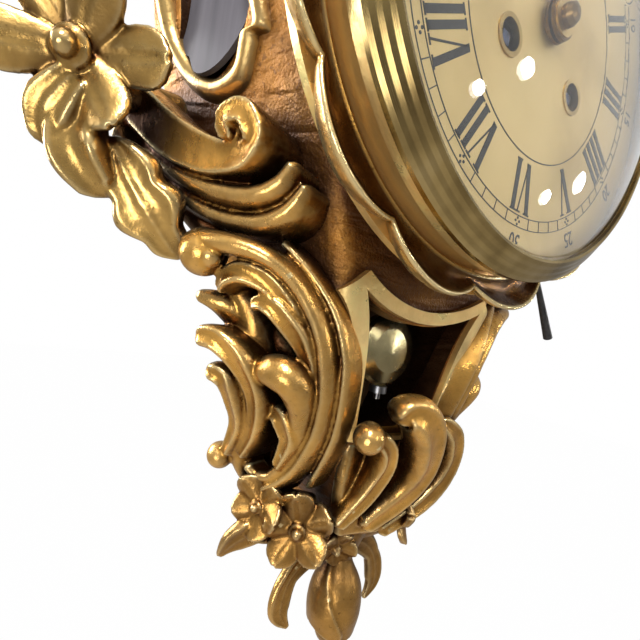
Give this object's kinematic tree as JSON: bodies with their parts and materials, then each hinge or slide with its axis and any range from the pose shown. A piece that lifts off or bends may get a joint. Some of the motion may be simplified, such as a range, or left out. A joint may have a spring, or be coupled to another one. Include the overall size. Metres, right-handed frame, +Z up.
{
  "type": "wall clock",
  "caption": "Carved gilt wall clock with a domed glass in a hinged bezel, Roman dial, side windows, pendulum window, acanthus scrolls and flowers.",
  "frame": {"origin": "centre of the hook hole in the hanger plate, on the wall plane", "axes": "+X to the right facing the dial, +Y into the wall, +Z up; the dial faces -Y"},
  "size_m": [0.2996, 0.1159, 0.488],
  "materials": {
    "gilt_wood": "gilded, worn, satin",
    "bare_wood": "bare softwood",
    "brass": "satin brass",
    "steel": "satin steel",
    "dark_bronze": "dark bronzed",
    "clear_glass": "clear",
    "gilt_dial": "champagne gilt, satin",
    "black_enamel": "black, semi-gloss"
  },
  "bodies": {
    "case": {"apron_leaves": "gilt_wood", "back_board": "bare_wood", "bottom_flowers": "gilt_wood", "case_shell": "gilt_wood", "crest": "gilt_wood", "dial_drum": "gilt_wood", "dial_plate": "gilt_dial", "flower_spray_left": "gilt_wood", "flower_spray_right": "gilt_wood", "front_plate": "brass", "gong_block": "bare_wood", "gong_rod": "steel", "hanger_plate": "steel", "hanger_screws": "steel", "hinge_pin": "steel", "hinge_plate": "brass", "leaf_rim": "gilt_wood", "lower_scroll_left": "gilt_wood", "lower_scroll_right": "gilt_wood", "mainsprings": "steel", "movement_screws": "steel", "pendant_bud": "gilt_wood", "pendulum_window_frame": "gilt_wood", "plate_pillars": "brass", "rear_plate": "brass", "shoulder_scroll_left": "gilt_wood", "shoulder_scroll_right": "gilt_wood", "side_glasses": "clear_glass", "side_window_frames": "gilt_wood", "suspension_cock": "brass", "upper_scroll_left": "gilt_wood", "upper_scroll_right": "gilt_wood", "winding_grommets": "brass"},
    "bezel": {"bezel_ring": "brass", "dome_glass": "clear_glass"},
    "centre": {"centre_arbor": "brass", "minute_hand": "dark_bronze", "hand_washer": "brass", "hand_nut": "dark_bronze"},
    "hour": {"hour_wheel": "brass", "hour_hand": "dark_bronze"},
    "minute_work": {"minute_wheel": "brass"},
    "intermediate": {"intermediate_wheel": "brass"},
    "third": {"third_wheel": "brass"},
    "escape": {"escape_wheel": "brass"},
    "going_barrel": {"time_barrel": "brass"},
    "striking_barrel": {"strike_barrel": "brass"},
    "time_winding": {"time_winding_arbor": "steel"},
    "strike_winding": {"strike_winding_arbor": "steel"},
    "time_pawl": {"time_click": "steel"},
    "strike_pawl": {"strike_click": "steel"},
    "pin_wheel": {"strike_pin_wheel": "brass"},
    "fly": {"strike_fly": "brass"},
    "strike_hammer": {"hammer": "brass"},
    "anchor": {"pallet_anchor": "brass"},
    "pendulum": {"suspension_spring": "steel", "pendulum_rod": "brass", "pendulum_bob": "brass", "rating_nut": "brass"},
    "lever": {"strike_lever": "black_enamel"}
  },
  "joints": [
    {"name": "bezel_hinge", "type": "hinge", "parent": "case", "child": "bezel", "pos_m": [0.0862, -0.094, -0.11], "axis": [0, 0, 1], "range_deg": [0, 100]},
    {"name": "minute_hand_turn", "type": "hinge", "parent": "case", "child": "centre", "pos_m": [0, -0.07, -0.11], "axis": [0, 1, 0], "continuous": true},
    {"name": "hour_hand_turn", "type": "hinge", "parent": "case", "child": "hour", "pos_m": [0, -0.092, -0.11], "axis": [0, 1, 0], "continuous": true},
    {"name": "minute_wheel_turn", "type": "hinge", "parent": "case", "child": "minute_work", "pos_m": [0, -0.083, -0.0988], "axis": [0, 1, 0], "continuous": true},
    {"name": "intermediate_turn", "type": "hinge", "parent": "case", "child": "intermediate", "pos_m": [0.01782, -0.06, -0.10341], "axis": [0, 1, 0], "continuous": true},
    {"name": "third_wheel_turn", "type": "hinge", "parent": "case", "child": "third", "pos_m": [-0.0091, -0.07, -0.09424], "axis": [0, 1, 0], "continuous": true},
    {"name": "escape_wheel_turn", "type": "hinge", "parent": "case", "child": "escape", "pos_m": [0, -0.065, -0.08084], "axis": [0, 1, 0], "continuous": true},
    {"name": "time_barrel_turn", "type": "hinge", "parent": "case", "child": "going_barrel", "pos_m": [0.02, -0.07, -0.1243], "axis": [0, 1, 0], "continuous": true},
    {"name": "strike_barrel_turn", "type": "hinge", "parent": "case", "child": "striking_barrel", "pos_m": [-0.02, -0.07, -0.1243], "axis": [0, 1, 0], "continuous": true},
    {"name": "pin_wheel_turn", "type": "hinge", "parent": "case", "child": "pin_wheel", "pos_m": [-0.02718, -0.06, -0.10457], "axis": [0, 1, 0], "continuous": true},
    {"name": "fly_turn", "type": "hinge", "parent": "case", "child": "fly", "pos_m": [-0.03438, -0.07, -0.0921], "axis": [0, 1, 0], "continuous": true},
    {"name": "time_winding_turn", "type": "hinge", "parent": "case", "child": "time_winding", "pos_m": [0.02, -0.08, -0.1243], "axis": [0, 1, 0], "continuous": true},
    {"name": "strike_winding_turn", "type": "hinge", "parent": "case", "child": "strike_winding", "pos_m": [-0.02, -0.08, -0.1243], "axis": [0, 1, 0], "continuous": true},
    {"name": "time_click_lift", "type": "hinge", "parent": "case", "child": "time_pawl", "pos_m": [0.023, -0.083, -0.1368], "axis": [0, 1, 0], "range_deg": [0, 12]},
    {"name": "strike_click_lift", "type": "hinge", "parent": "case", "child": "strike_pawl", "pos_m": [-0.023, -0.083, -0.1368], "axis": [0, -1, 0], "range_deg": [0, 12]},
    {"name": "hammer_lift", "type": "hinge", "parent": "case", "child": "strike_hammer", "pos_m": [-0.0425, -0.06, -0.1], "axis": [0, 1, 0], "range_deg": [-1.2, 12]},
    {"name": "pendulum_swing", "type": "hinge", "parent": "case", "child": "pendulum", "pos_m": [0, -0.0455, -0.0665], "axis": [0, 1, 0], "range_deg": [-3, 3]},
    {"name": "anchor_rock", "type": "hinge", "parent": "case", "child": "anchor", "pos_m": [0, -0.06, -0.0665], "axis": [0, 1, 0], "range_deg": [-3, 3]},
    {"name": "strike_lever_turn", "type": "hinge", "parent": "case", "child": "lever", "pos_m": [0.0314, -0.079, -0.15019], "axis": [0, 1, 0], "range_deg": [-6, 6]}
  ],
  "couplings": [
    {"joint": "third_wheel_turn", "follows": "minute_hand_turn", "ratio": -12},
    {"joint": "escape_wheel_turn", "follows": "minute_hand_turn", "ratio": 150},
    {"joint": "intermediate_turn", "follows": "minute_hand_turn", "ratio": -0.15152},
    {"joint": "time_barrel_turn", "follows": "minute_hand_turn", "ratio": 0.025253},
    {"joint": "minute_wheel_turn", "follows": "minute_hand_turn", "ratio": -0.33333},
    {"joint": "hour_hand_turn", "follows": "minute_hand_turn", "ratio": 0.083333},
    {"joint": "pin_wheel_turn", "follows": "strike_barrel_turn", "ratio": -6},
    {"joint": "fly_turn", "follows": "strike_barrel_turn", "ratio": 48},
    {"joint": "anchor_rock", "follows": "pendulum_swing", "ratio": 1}
  ]
}
